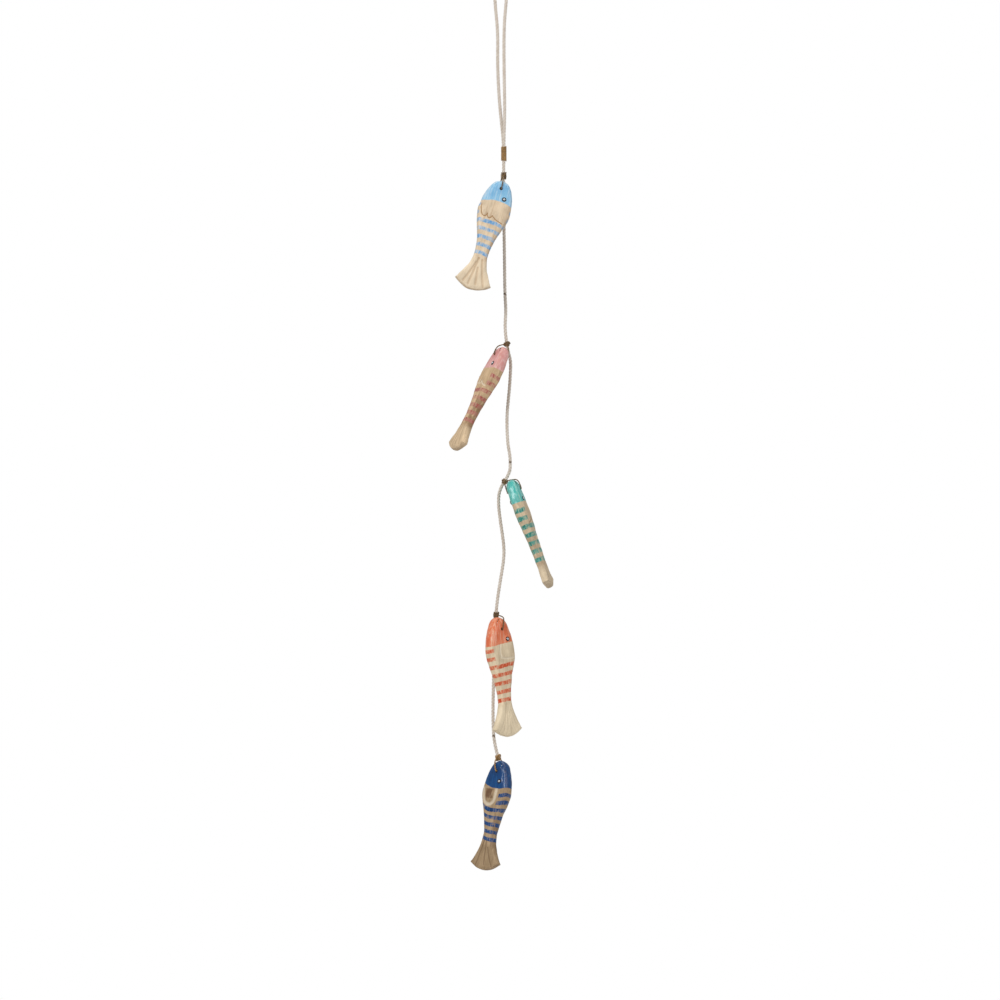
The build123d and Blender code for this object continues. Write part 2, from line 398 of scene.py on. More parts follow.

# Each fish.
# It hangs, in degrees: facing, round from the viewer's side; lean, out from the cord; swing, in its plane.
#   back is the side that its back is on, and turns are the twine's turns round the cord.
# Its shape: nose is its reach above the hole, and long and wide are factors on the common body.
# Its paint, in millimetres from the top of the common nose: head, where the head's paint ends, and cap,
#   how fast it ends lower away from CAP_MIDDLE; first, the middle of the first stripe, then pitch, and band,
#   half a stripe's width; slope, curve and middle bend them all across the flank; short is how far the first
#   stripes reach in from the belly and from the back; cover is how fully the brush covered, and streaks how
#   far the light paint shows in the head.
# Its carving: fin, and tail_lines, the tail's lines with their count, width, depth and tint, the strength of
#   the painted shade in them; the last number is how dark the painted shade on the back's edge is above the tail.
FISH = {
    "sky": dict(
        facing=8, lean=12, swing=-17.7, back=1, turns=5, nose=8.7, long=1.075, wide=1.03,
        head=21.0, cap=0.007, first=27.2, pitch=7.45, slope=0.04, curve=0.006,
        middle=0.0, band=1.7, short=(0.6, 1.0),
        paint="#8cc4e6", light="#cfe4f1", deep="#5a9fd6", stripe="#93bde0", thick="#5f9bd0",
        wood="#d6c1a4", stain_and_shade_tone="#a87d4e", tail="#fff0d2", streaks=0.6, cover=0.3,
        fin="lobes", tail_lines=(4, 1.7, 0.6, 0.6), waist_shade=0.35,
    ),
    "pink": dict(
        facing=-65, lean=28, swing=0, back=1, turns=3, nose=10.2, long=1.05, wide=0.97,
        head=22.6, cap=0.0, first=30.2, pitch=7.35, slope=0.0, curve=0.0,
        middle=0.0, band=1.8, short=(3.0, 3.0),
        paint="#e2a29c", light="#f1cfca", deep="#b9625b", stripe="#c17d72", thick="#a04a42",
        wood="#c7a983", stain_and_shade_tone="#7d5a38", tail="#e8d6b6", streaks=0.7, cover=0.2,
        fin="pale_lobes", tail_lines=(4, 1.3, 0.5, 0.6), waist_shade=0.75,
    ),
    "teal": dict(
        facing=80, lean=20.5, swing=0, back=-1, turns=3, nose=10.6, long=1.03, wide=0.97,
        head=20.6, cap=0.0, first=27.8, pitch=7.8, slope=0.0, curve=0.0,
        middle=0.0, band=2.05, short=(3.0, 3.0),
        paint="#4dbcb3", light="#b6e8e3", deep="#1d7a70", stripe="#4aa89c", thick="#1f6f62",
        wood="#ccb798", stain_and_shade_tone="#86684a", tail="#dcccae", streaks=0.6, cover=0.4,
        fin="lobes", tail_lines=(3, 1.2, 0.45, 0.5), waist_shade=0.4,
    ),
    "coral": dict(
        facing=42, lean=8, swing=0, back=1, turns=4, nose=11.4, long=1.07, wide=1.02,
        head=22.2, cap=0.0, first=26.4, pitch=7.64, slope=-0.16, curve=0.0,
        middle=0.0, band=1.8, short=(3.2, 0.4),
        paint="#ea7a4e", light="#f3b596", deep="#d4532a", stripe="#e07048", thick="#cc4a20",
        wood="#d8c5a6", stain_and_shade_tone="#b0946c", tail="#fff0d0", streaks=0.95, cover=0.55,
        fin="panel", tail_lines=(7, 1.0, 0.3, 0.3), waist_shade=0.15,
    ),
    "navy": dict(
        facing=-40, lean=14, swing=-0.3, back=1, turns=4, nose=10.4, long=0.99, wide=1.0,
        head=24.8, cap=0.0, first=31.4, pitch=6.55, slope=0.0, curve=-0.018,
        middle=4.0, band=1.7, short=(0.5, 7.5),
        paint="#00407a", light="#17689f", deep="#001f48", stripe="#004a86", thick="#002c5e",
        wood="#a58b69", stain_and_shade_tone="#68462a", tail="#6f5838", streaks=0.4, cover=0.7,
        fin="patch", tail_lines=(3, 1.1, 0.35, 0.6), waist_shade=0.45,
    ),
}
CORD_OF = {"sky": 1, "pink": 2, "teal": 3, "coral": 4, "navy": 4}

# Hand-cut unevenness, which stays off the eyes and doesn't stand out where the nose loop lies
LUMPS = 0.34
SMALL_LUMPS = 0.10
SHAVED = 0.12
LOOP_REACH = 11.0
EYE_CLEAR = 2.4
# The heights that the painted shade on the back's edge at the waist starts from and ends at
WAIST_SHADE_HEIGHTS = (-38.0, -76.0)

# Fins carved in the flanks: control points of each smooth line, which ends where the fin has a corner
LOBES = (
    ((-12.6, -18.0), (-11.6, -23.5), (-10.2, -27.4), (-8.0, -29.0), (-5.8, -28.4), (-5.2, -25.6)),
    ((-5.2, -25.6), (-5.0, -28.2), (-3.2, -29.6), (-1.2, -28.8), (-0.7, -26.6)),
    ((-0.7, -26.6), (1.4, -28.6), (4.8, -30.2), (10.2, -31.6)),
)
PANEL = (
    ((-3.6, -13.5), (-4.6, -18.0), (-4.4, -23.4), (-2.6, -25.6)),
    ((-4.2, -25.4), (1.0, -26.6), (6.0, -26.2), (11.5, -25.4)),
)
PATCH_EDGE = (
    ((-11.8, -15.6), (-11.2, -22.0), (-9.0, -28.2), (-4.2, -30.6), (0.8, -29.0), (3.4, -24.0), (3.6, -15.6)),
)
# The stained patch: its left, right and lower edge, how far it fades there, and its depth
PATCH = (-9.2, 1.2, -25.4)
PATCH_FADE = 1.2
PATCH_DEPTH = 0.3
# Each fin: its lines, their width, their depth and what they are tinted by: painted shade for carved lines, a painted
# highlight for pale ones
FINS = {
    "lobes": (LOBES, 0.65, 0.45, "carved"),
    "pale_lobes": (LOBES, 1.0, 0.4, "pale"),
    "panel": (PANEL, 1.0, 0.4, "pale"),
    "patch": (PATCH_EDGE, 1.9, 0.45, "pale"),
}


def linear(text):
    """The linear colour of a #rrggbb colour, with alpha."""
    shares = [int(text[k : k + 2], 16) / 255 for k in (1, 3, 5)]
    return (*[c / 12.92 if c < 0.04045 else ((c + 0.055) / 1.055) ** 2.4 for c in shares], 1.0)


def smooth(value):
    """0 below 0, 1 above 1, and an even rise between."""
    value = np.clip(value, 0, 1)
    return value * value * (3 - 2 * value)


# ---- materials


class Graph:
    """A material under construction: adds nodes and links them."""

    def __init__(self, name):
        self.material = bpy.data.materials.new(name)
        self.material.use_nodes = True
        self.nodes = self.material.node_tree.nodes
        self.links = self.material.node_tree.links
        self.shader = self.nodes["Principled BSDF"]
        self.place = self.add("ShaderNodeTexCoord", {}, 3)

    def feed(self, socket, value):
        """Gives a socket an output, a number or a colour, which may be written as #rrggbb."""
        if isinstance(value, bpy.types.NodeSocket):
            self.links.new(value, socket)
        else:
            socket.default_value = linear(value) if isinstance(value, str) else value

    def add(self, kind, sockets, output=0, **settings):
        """A node with these settings and sockets; returns one of its outputs."""
        node = self.nodes.new(kind)
        for key, value in settings.items():
            setattr(node, key, value)
        for key, value in sockets.items():
            self.feed(node.inputs[key], value)
        return node.outputs[output]

    def math(self, operation, first, second=0.0, third=0.0):
        return self.add("ShaderNodeMath", {0: first, 1: second, 2: third}, operation=operation)

    def product(self, first, second):
        return self.math("MULTIPLY", first, second)

    def step(self, value, low, high):
        """0 at low and 1 at high, with a smooth rise between."""
        sockets = {"Value": value, "From Min": low, "From Max": high}
        return self.add("ShaderNodeMapRange", sockets, interpolation_type="SMOOTHSTEP")

    def mix(self, share, first, second):
        return self.add("ShaderNodeMix", {0: share, 6: first, 7: second}, 2, data_type="RGBA")

    def over(self, below, colour, cover, share=1.0):
        """This colour laid over another, as far as cover times share says."""
        return self.mix(self.product(cover, share), below, colour)

    def noise(self, fineness, detail=3.0, roughness=0.55):
        """Noise that is this fine, per metre: one number, or one along each of X, Y and Z."""
        place, scale = self.place, fineness
        if isinstance(fineness, tuple):
            place = self.add("ShaderNodeVectorMath", {0: place, 1: fineness}, operation="MULTIPLY")
            scale = 1.0
        sockets = {"Vector": place, "Scale": scale, "Detail": detail, "Roughness": roughness}
        return self.add("ShaderNodeTexNoise", sockets)

    def attribute(self, name):
        return self.add("ShaderNodeAttribute", {}, 2, attribute_name=name)

    def bump(self, height, distance, strength=1.0, normal=None):
        sockets = {"Height": height, "Distance": distance, "Strength": strength}
        if normal is not None:
            sockets["Normal"] = normal
        return self.add("ShaderNodeBump", sockets)

    def finish(self, colour, roughness, normal=None, **constants):
        self.feed(self.shader.inputs["Base Color"], colour)
        self.feed(self.shader.inputs["Roughness"], roughness)
        if normal is not None:
            self.feed(self.shader.inputs["Normal"], normal)
        for key, value in constants.items():
            self.shader.inputs[key.replace("_", " ")].default_value = value
        return self.material


def fibre_material(name, light, dark, shade):
    """Spun fibre: pale on top of its strands, with painted shade in the grooves between them, and uneven along them.
    """
    g = Graph(name)
    groove = g.attribute("groove")
    patches = g.noise(260.0, 3.0)
    hairs = g.noise(HAIRS, 4.0, 0.7)
    tone = g.mix(g.step(patches, 0.35, 0.7), light, dark)
    tone = g.over(tone, shade, g.step(hairs, 0.5, 0.72), 0.45)
    # Painted shade in the grooves between the strands
    colour = g.over(tone, shade, g.step(groove, 0.25, 1.0), 0.8)
    colour = g.mix(g.attribute("speck"), colour, SPECK)
    normal = g.bump(hairs, 0.00012, 0.7)
    return g.finish(colour, 0.9, normal, Sheen_Weight=0.25, Sheen_Roughness=0.5)


def wood_layers(g, wood, stain_and_shade_tone):
    """The colour and the height of bare carved wood, with its grain along Z, painted shade in the carved lines, the
    nose hole and the waist, and a painted highlight along pale cuts.
    """
    pale = [min(1.0, c * 1.22 + 0.02) for c in linear(wood)[:3]]
    grain = g.noise(GRAIN, 5.0, 0.62)
    rings = g.noise(YEAR_RINGS, 3.0, 0.5)
    pores = g.noise(PORES, 3.0, 0.6)
    clouds = g.noise(CLOUDS, 3.0, 0.6)
    blotches = g.noise(BLOTCHES, 4.0, 0.65)
    tone = g.mix(g.step(clouds, 0.38, 0.62), (*pale, 1.0), wood)
    tone = g.over(tone, stain_and_shade_tone, g.step(grain, 0.48, 0.74), 0.42)
    tone = g.over(tone, stain_and_shade_tone, g.step(rings, 0.46, 0.7), 0.3)
    tone = g.over(tone, stain_and_shade_tone, g.step(pores, 0.62, 0.74), 0.4)
    # Painted shade in the carved lines and in and round the nose hole
    tone = g.over(tone, stain_and_shade_tone, g.step(g.attribute("carved"), 0.15, 0.9), 0.85)
    # Painted highlight along the pale cuts
    tone = g.over(tone, CUT_HIGHLIGHT, g.attribute("pale"), 0.6)
    # The stained patch, the darker tail end, and painted shade on the back's edge at the waist
    tone = g.over(tone, stain_and_shade_tone, g.attribute("stain_and_shade"), g.step(blotches, 0.3, 0.6))
    height = g.math("SUBTRACT", g.product(grain, 0.6), g.product(pores, 0.5))
    return tone, height


def fish_material(name, spec):
    """Bare wood with a painted head and seven painted stripes, brushed on by hand."""
    g = Graph(f"{name}_paint_on_wood")
    tone, height = wood_layers(g, spec["wood"], spec["stain_and_shade_tone"])
    apart = g.add("ShaderNodeSeparateXYZ", {0: g.place})
    x = g.product(apart, 1000.0)
    z = g.product(apart.node.outputs[2], 1000.0)

    # Distance below the top of the common nose, bent as the brush ran across the flank
    off = g.math("SUBTRACT", x, spec["middle"])
    curved = g.product(g.product(off, off), spec["curve"])
    bent = g.math("ADD", curved, g.product(x, spec["slope"]))
    wobble = g.math("MULTIPLY_ADD", g.noise(130.0, 2.0), 1.8, -0.9)
    fray = g.math("MULTIPLY_ADD", g.noise(FRAY, 3.0, 0.6), 1.1, -0.55)
    down = g.math("SUBTRACT", g.math("SUBTRACT", NOSE_R, z), bent)
    ragged = g.math("ADD", down, g.math("ADD", g.product(wobble, 0.6), fray))
    aside = g.math("SUBTRACT", x, CAP_MIDDLE)
    lowered = g.product(g.product(aside, aside), spec["cap"])
    head = g.step(g.math("SUBTRACT", ragged, lowered), spec["head"] + 0.25, spec["head"] - 0.25)

    # Stripes at an even pitch, counted from 0; the first ones stop at the carved fin
    count = g.math("SUBTRACT", g.math("ADD", down, wobble), spec["first"])
    count = g.math("DIVIDE", count, spec["pitch"])
    inside = g.math("ABSOLUTE", g.math("SUBTRACT", g.math("FRACT", g.math("ADD", count, 0.5)), 0.5))
    far = g.math("ADD", g.product(inside, spec["pitch"]), g.product(fray, 0.55))
    stripe = g.step(far, spec["band"] + 0.3, spec["band"] - 0.3)
    end = STRIPES - 0.5
    among = g.product(g.step(count, -0.5, -0.48), g.step(count, end, end - 0.02))
    lower = g.step(count, SHORT_STRIPES - 0.52, SHORT_STRIPES - 0.5)
    reach = g.math("MAXIMUM", lower, g.attribute("edge"))
    stripe = g.product(g.product(stripe, among), reach)

    # The bare tail below the last stripe has a tone of its own
    below = spec["first"] + end * spec["pitch"]
    tail_tone = g.mix(0.5, tone, spec["tail"])
    tone = g.over(tone, tail_tone, g.step(down, below, below + 4.0), 0.55)

    # Both wear thin in streaks along the fish, most of all on its corners
    dry = g.noise(DRY_BRUSH, 4.0, 0.65)
    blots = g.noise(BLOTS, 2.0, 0.5)
    load = g.math("MULTIPLY_ADD", blots, 0.5, g.product(dry, 0.7))
    cover = g.step(load, 0.78 + 0.1 * spec["cover"], 0.50 + 0.1 * spec["cover"])
    worn = g.product(g.attribute("wear"), g.step(dry, 0.42, 0.6))
    stripe = g.product(g.product(stripe, cover), g.math("MULTIPLY_ADD", worn, -0.5, 1.0))
    head = g.product(head, g.math("MULTIPLY_ADD", worn, -0.3, 1.0))

    # The paint itself: brush streaks along the fish, thicker and darker in patches
    streaks = g.noise(BRUSH_STREAKS, 4.0, 0.6)
    patches = g.noise(70.0, 3.0, 0.5)
    paint = g.over(spec["paint"], spec["light"], g.step(streaks, 0.44, 0.68), spec["streaks"])
    paint = g.over(paint, spec["deep"], g.step(patches, 0.45, 0.72), 0.5)
    coat = g.mix(g.step(load, 0.66, 0.42), spec["stripe"], spec["thick"])
    past_head = g.step(down, spec["head"] + 2.2, spec["head"] + 2.4)
    painted = g.math("MAXIMUM", head, stripe)
    colour = g.mix(painted, tone, g.mix(past_head, paint, coat))

    shine = g.math("MULTIPLY_ADD", patches, 0.22, 0.16)
    roughness = g.add("ShaderNodeMix", {0: painted, 2: 0.62, 3: shine}, 0)
    heights = g.math("MULTIPLY_ADD", streaks, 0.35, height)
    normal = g.bump(heights, 0.00022, 0.55)
    normal = g.bump(painted, 0.00008, 0.5, normal)
    return g.finish(colour, roughness, normal, Specular_IOR_Level=0.45)


def eye_materials():
    """Dark ring and bright dome of a tack, rubbed in places."""
    made = []
    for name, look in TACK_LOOKS.items():
        g = Graph(name)
        rub = g.noise(*look["noise"])
        tone = g.mix(g.step(rub, *look["rubbed"]), *look["tones"])
        rough = g.math("MULTIPLY_ADD", rub, *look["rough"])
        made.append(g.finish(tone, rough, g.bump(rub, *look["bump"]), Metallic=look["metal"]))
    return made


# ---- lines and tubes


def nurbs_line(points):
    """The smooth line of a NURBS spline that has these control points."""
    curve = bpy.data.curves.new("route", "CURVE")
    curve.dimensions = "3D"
    curve.resolution_u = 40
    spline = curve.splines.new("NURBS")
    spline.points.add(len(points) - 1)
    for slot, point in zip(spline.points, points):
        slot.co = (*point, 1.0)
    spline.order_u = 3
    spline.use_endpoint_u = True
    holder = placed("route", curve)
    mesh = bpy.data.meshes.new_from_object(holder)
    line = np.array([vertex.co for vertex in mesh.vertices])
    bpy.data.objects.remove(holder)
    bpy.data.curves.remove(curve)
    bpy.data.meshes.remove(mesh)
    return line


def distances(line):
    """How far along a line each of its points is."""
    return np.concatenate([[0.0], np.cumsum(np.linalg.norm(np.diff(line, axis=0), axis=1))])


def resampled(line, runs):
    """A line, flat or not, as this many runs of equal length."""
    along = distances(line)
    wanted = np.linspace(0, along[-1], runs + 1)
    return np.stack([np.interp(wanted, along, column) for column in line.T], 1)


def evenly(line, step):
    """A line as runs of about this length."""
    return resampled(line, max(2, round(distances(line)[-1] / step)))


def carried(line):
    """Two directions across a line at each of its points, which don't twist as they go."""
    ways = np.gradient(line, axis=0)
    ways /= np.linalg.norm(ways, axis=1)[:, None]
    side = np.cross(ways[0], (0.31, 0.74, 0.59))
    across = np.empty_like(line)
    for number, way in enumerate(ways):
        side = side - way * side.dot(way)
        side /= np.linalg.norm(side)
        across[number] = side
    return across, np.cross(ways, across)


def twisted(line, count, out, lay):
    """The lines of the strands that are laid round a line."""
    across, up = carried(line)
    for number in range(count):
        turn = 2 * pi * (distances(line) / lay + number / count)
        yield line + out * (across * np.cos(turn)[:, None] + up * np.sin(turn)[:, None])


def rings(line, radius, sides, lobes, depth, lay):
    """Rings of points round a line, and how deep each point lies in the groove between two lobes."""
    across, up = carried(line)
    turn = np.linspace(0, 2 * pi, sides, endpoint=False)[None, :]
    ripple = np.cos(lobes * turn + 2 * pi * distances(line)[:, None] / lay)
    ways = across[:, None] * np.cos(turn)[..., None] + up[:, None] * np.sin(turn)[..., None]
    return line[:, None] + (radius * (1 + depth * ripple))[..., None] * ways, (1 - ripple) / 2


def ring_faces(steps, size):
    """The quads between rings of points that follow each other, each ring of this size."""
    for ring in range(steps):
        for point in range(size):
            a, b = ring * size + point, ring * size + (point + 1) % size
            yield a, b, b + size, a + size


def keep_numbers(mesh, name, values):
    """A number for each point of a mesh, which its material reads by this name."""
    attribute = mesh.attributes.new(name, "FLOAT", "POINT")
    attribute.data.foreach_set("value", values.astype(np.float32))


class Shape:
    """Points and faces on their way to becoming one mesh, with numbers kept for each point."""

    def __init__(self, *numbers):
        self.points, self.faces, self.kinds = [], [], []
        self.numbers = {name: [] for name in numbers}
        self.total = 0

    def add(self, points, faces, kind=0, **numbers):
        self.points.append(points)
        self.faces += [tuple(corner + self.total for corner in face) for face in faces]
        self.kinds += [kind] * len(faces)
        for name, kept in self.numbers.items():
            kept.append(np.broadcast_to(numbers.get(name, 0.0), len(points)))
        self.total += len(points)

    def add_tube(self, found, **numbers):
        """A closed tube through rings of points."""
        count, sides = found.shape[:2]
        ends = np.stack([found[0].mean(0), found[-1].mean(0)])
        points = np.concatenate([found.reshape(-1, 3), ends])
        faces = list(ring_faces(count - 1, sides))
        first, last = count * sides, count * sides + 1
        for side in range(sides):
            after = (side + 1) % sides
            faces.append((first, after, side))
            faces.append((last, last - 1 - sides + side, last - 1 - sides + after))
        padded = {name: np.concatenate([value.reshape(-1), [0.0, 0.0]]) for name, value in numbers.items()}
        self.add(points, faces, **padded)

    def mesh(self, name, *materials):
        made = bpy.data.meshes.new(name)
        made.from_pydata(np.concatenate(self.points).tolist(), [], self.faces)
        for material in materials:
            made.materials.append(material)
        made.polygons.foreach_set("material_index", self.kinds)
        made.polygons.foreach_set("use_smooth", [True] * len(self.faces))
        for key, kept in self.numbers.items():
            keep_numbers(made, key, np.concatenate(kept))
        made.update()
        return made


def placed(name, data, place=None):
    """An object in the scene with this mesh, curve, light or camera."""
    made = bpy.data.objects.new(name, data)
    bpy.context.scene.collection.objects.link(made)
    if place is not None:
        made.matrix_world = place
    return made


def twine_shape(line, ply, out, lay):
    """Two-ply twine along a line."""
    shape = Shape("groove", "speck")
    for strand in twisted(line, 2, out, lay):
        found, lobe = rings(strand, ply, TWINE_SIDES, 4, 0.07, lay * 0.6)
        # How deep each point lies, which sets the painted shade between the plies
        depth = np.linalg.norm(found - line[:, None], axis=2)
        inner = smooth(1 - (depth - 0.35 * ply) / (1.1 * ply))
        shape.add_tube(found, groove=np.maximum(inner, 0.6 * lobe))
    return shape


# ---- camera, stage and light


def make_camera():
    data = bpy.data.cameras.new("camera")
    data.lens = data.sensor_width * CAMERA_AWAY / PICTURE_WIDTH
    camera = placed("camera", data)
    camera.location = (CAMERA_X, -CAMERA_AWAY, CAMERA_Z)
    camera.rotation_euler = (pi / 2, 0, 0)
    bpy.context.scene.camera = camera


def make_floor():
    g = Graph("floor_paper")
    mottle = g.noise(3.0, 2.0)
    g.finish(g.mix(mottle, *FLOOR_TONES), 0.9)
    mesh = bpy.data.meshes.new("floor")
    turns = [2 * pi * number / FLOOR_SIDES for number in range(FLOOR_SIDES)]
    rim = [(FLOOR_R * cos(turn), FLOOR_R * sin(turn), FLOOR_Z) for turn in turns]
    mesh.from_pydata(rim, [], [tuple(range(FLOOR_SIDES))])
    mesh.materials.append(g.material)
    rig.stage(placed("floor", mesh))


def area_light(name, place, size, power):
    data = bpy.data.lights.new(name, "AREA")
    data.shape = "DISK"
    data.size = size
    data.energy = power
    light = placed(name, data)
    light.location = place
    light.rotation_euler = (Vector(LIT_POINT) - Vector(place)).to_track_quat("-Z", "Y").to_euler()


def make_light():
    """A white world and soft lights from both sides."""
    world = bpy.data.worlds.new("studio")
    world.use_nodes = True
    nodes, links = world.node_tree.nodes, world.node_tree.links
    background = nodes["Background"]
    background.inputs["Color"].default_value = (1.0, 1.0, 1.0, 1.0)
    path = nodes.new("ShaderNodeLightPath")
    strength = nodes.new("ShaderNodeMix")
    strength.inputs[2].default_value = WORLD_STRENGTH
    strength.inputs[3].default_value = WORLD_SEEN
    links.new(path.outputs["Is Camera Ray"], strength.inputs[0])
    links.new(strength.outputs[0], background.inputs["Strength"])
    bpy.context.scene.world = world
    for name, (place, size, power) in LAMPS.items():
        area_light(name, place, size, power)
    bpy.context.scene.view_settings.view_transform = "Standard"


# ---- cord and whipping


def speck_at(found):
    """Where a small brown fleck shows on the front of the cord."""
    share = np.zeros(found.shape[:2])
    for height in SPECK_HEIGHTS:
        middle = found[np.abs(found[:, :, 2].mean(1) - height).argmin()].mean(0)
        front = middle + np.array([0.0, -CORD_R, 0.0])
        share = np.maximum(share, smooth(2 - np.linalg.norm(found - front, axis=2) / SPECK_REACH))
    return share


def make_cord(material):
    """The whole cord on one smooth line, cut into the loop and a rope for each span."""
    line = evenly(nurbs_line(CORD_ROUTE), CORD_STEP)
    strands = []
    for strand in twisted(line, CORD_STRANDS, STRAND_OUT, CORD_LAY):
        found, lobe = rings(strand, STRAND_R, STRAND_SIDES, STRAND_YARNS, YARN_DEPTH, -YARN_LAY)
        # How deep each point lies, which sets the painted shade between the strands
        depth = np.linalg.norm(found - line[:, None], axis=2)
        inner = smooth(1 - (depth - 0.62 * CORD_R) / (0.3 * CORD_R))
        strands.append((found, np.maximum(inner, 0.55 * lobe), speck_at(found)))
    lowest = len(line) // 3  # past the loop, where the cord only goes down
    cuts = [0]
    for bend, reach in SPANS:
        cuts.append(lowest + int(np.argmax(line[lowest:, 2] < bend[2] + reach)))
    cuts.append(len(line) - 1)
    names = ["rope_hanging_loop"] + [f"rope_span_{number}" for number in (1, 2, 3, 4)]
    pieces = []
    for name, start, end in zip(names, cuts, cuts[1:]):
        shape = Shape("groove", "speck")
        for found, groove, speck in strands:
            part = slice(start, end + 1)
            shape.add_tube(found[part], groove=groove[part], speck=speck[part])
        piece = placed(name, shape.mesh(name, material))
        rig.slot(piece, "cotton_cord")
        pieces.append((piece, line[start : end + 1]))
    return line, pieces


def attach_cord(pieces, on_cord):
    """The loop rides on the hanger, and each span bends out of the one above it."""
    loop, path = pieces[0]
    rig.ride(loop, "hanger")
    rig.replaces(loop, "hanging_loop")
    declare_cord(loop, path[::-1], CORD_R, "bare", on_cord[0])
    for number, ((piece, path), (bend, _)) in enumerate(zip(pieces[1:], SPANS), 1):
        above = "hanger" if number == 1 else f"span_{number - 1}"
        start = Vector(path[0])
        end = Vector(bend) * 2 - start
        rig.blend(piece, above, f"span_{number}", start, end)
        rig.replaces(piece, f"cord_span_{number}")
        far_end = "knot" if number == len(SPANS) else "object"
        declare_cord(piece, path, CORD_R, far_end, on_cord[number])


def declare_cord(piece, path, radius, far_end, on_it=(), lay="hanging"):
    length = float(distances(path)[-1])
    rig.cord(
        piece,
        exit=path[0],
        length=length,
        diameter=2 * radius,
        far_end=far_end,
        stiffness="limp",
        lay=lay,
        path=path,
        with_pieces=on_it,
    )


def make_whipping(material):
    """Twine wound round both legs of the loop."""
    flat = LEG_SPACING
    around = 2 * pi * WHIPPING_R + 2 * flat
    walked = np.arange(0, WHIPPING_TURNS * around, TWINE_STEP)
    points = []
    for far in walked:
        here = far % around
        half = pi * WHIPPING_R
        if here < flat:
            x, y = WHIPPING_R, here
        elif here < flat + half:
            turn = (here - flat) / WHIPPING_R
            x, y = WHIPPING_R * cos(turn), flat + WHIPPING_R * sin(turn)
        elif here < 2 * flat + half:
            x, y = -WHIPPING_R, 2 * flat + half - here
        else:
            turn = (here - 2 * flat - half) / WHIPPING_R
            x, y = -WHIPPING_R * cos(turn), -WHIPPING_R * sin(turn)
        points.append((LEG_X + x, y, WHIPPING_TOP - WHIPPING_PITCH * far / around))
    line = evenly(np.array(points), TWINE_STEP)
    mesh = twine_shape(line, **FINE_TWINE).mesh("whipping_twine", material)
    piece = placed("whipping_twine", mesh)
    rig.slot(piece, "golden_twine")
    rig.ride(piece, "hanger")
    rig.replaces(piece, "loop_whipping")
    return piece


# ---- knots and nose loops


def frame_matrix(origin, x_way, y_way, z_way, scale=1.0):
    """A matrix with these axes and this origin."""
    turned = Matrix((x_way * scale, y_way * scale, z_way * scale)).transposed().to_4x4()
    turned.translation = origin
    return turned


def fish_axes(facing, lean, swing, back):
    """The ways of a fish's back, outer flank and nose."""
    face = Vector((sin(radians(facing)), -cos(radians(facing)), 0))
    side = Vector((cos(radians(facing)), sin(radians(facing)), 0))
    outward = face * cos(radians(lean)) + Vector((0, 0, sin(radians(lean))))
    upright = Vector((0, 0, cos(radians(lean)))) - face * sin(radians(lean))
    nose = upright * cos(radians(swing)) - side * sin(radians(swing))
    spine = (side * cos(radians(swing)) + upright * sin(radians(swing))) * back
    return spine, outward, nose


def knot_points(seed, turns):
    """Turns round the cord, then one over them on the outer side, and a tucked end. X is the outer side."""
    shift = 0.3 * sin(3.1 * seed)
    top = WRAP_PITCH * turns / 2
    points = []
    for step in range(WRAP_STEPS * turns + 1):
        share = step / WRAP_STEPS
        turn = radians(WRAP_START + 360 * share)
        uneven = WRAP_R * (1.04 + 0.04 * sin(1.7 * step + seed))
        reach = uneven + WRAP_BULGE * (1 - (2 * share / turns - 1) ** 2)
        points.append((reach * cos(turn), reach * sin(turn), top - WRAP_PITCH * share))
    points += [
        (-0.9, -2.0, -top - 0.4),
        (1.2, -2.2, -top),
        (2.4, -1.3, -top + 1.0),
        (3.0, -0.4 + shift, -0.6),
        (3.0, 0.4 + shift, 0.9),
        (2.3, 1.2, top - 0.6),
        (1.0, 2.0, top + 0.1),
        (-0.8, 2.3, top + 0.1),
        (-2.3, 1.7, top - 0.9),
        (-2.9, 0.6 + shift, top - 2.1),
    ]
    return points


def make_knot(name, number, turns, cord_line, middle, outward, material, twine):
    """Twine wound and knotted round the cord, where the cord passes the knot's height."""
    below = len(cord_line) // 3
    at = below + int(np.argmax(cord_line[below:, 2] < middle.z))
    centre = Vector(cord_line[at])
    way = Vector(cord_line[at - 2] - cord_line[at + 2]).normalized()
    x_way = (outward - way * outward.dot(way)).normalized()
    place = frame_matrix(centre, x_way, way.cross(x_way), way, MM)
    line = evenly(nurbs_line([place @ Vector(point) for point in knot_points(number, turns)]), TWINE_STEP)
    piece = placed(f"{name}_knot_twine", twine_shape(line, **FINE_TWINE).mesh(f"{name}_knot_twine", material))
    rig.slot(piece, twine)
    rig.ride(piece, f"{name}_tie")
    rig.replaces(piece, f"{name}_tie_knot")
    return piece, centre, way


